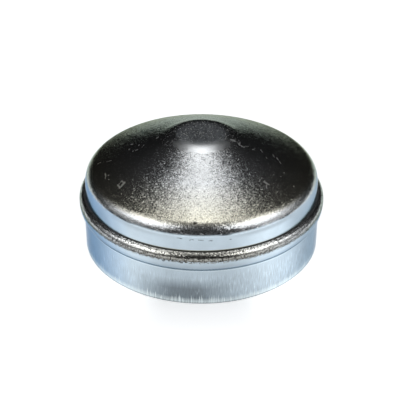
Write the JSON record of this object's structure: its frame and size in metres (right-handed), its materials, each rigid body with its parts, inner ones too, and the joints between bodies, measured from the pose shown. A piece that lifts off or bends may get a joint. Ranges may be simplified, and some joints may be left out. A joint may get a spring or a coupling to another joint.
{
  "type": "hub grease cap",
  "caption": "Round pressed-steel cap with a conical dome, a small flat nose, a stop bead and a plain skirt that is driven into a wheel hub to keep grease in and dirt out.",
  "frame": {"origin": "centre of the open rim, on the plane that the cap stands on", "axes": "+Z along the axis of the cap, from the open rim to the nose"},
  "size_m": [0.0642, 0.0642, 0.0314],
  "materials": {
    "zinc_plated_steel": "bright zinc plating on pressed steel: satin and finely grained on the dome and the top of the bead, burnished on the wall and the skirt"
  },
  "bodies": {
    "root": {"grease_cap": "zinc_plated_steel"}
  },
  "joints": []
}
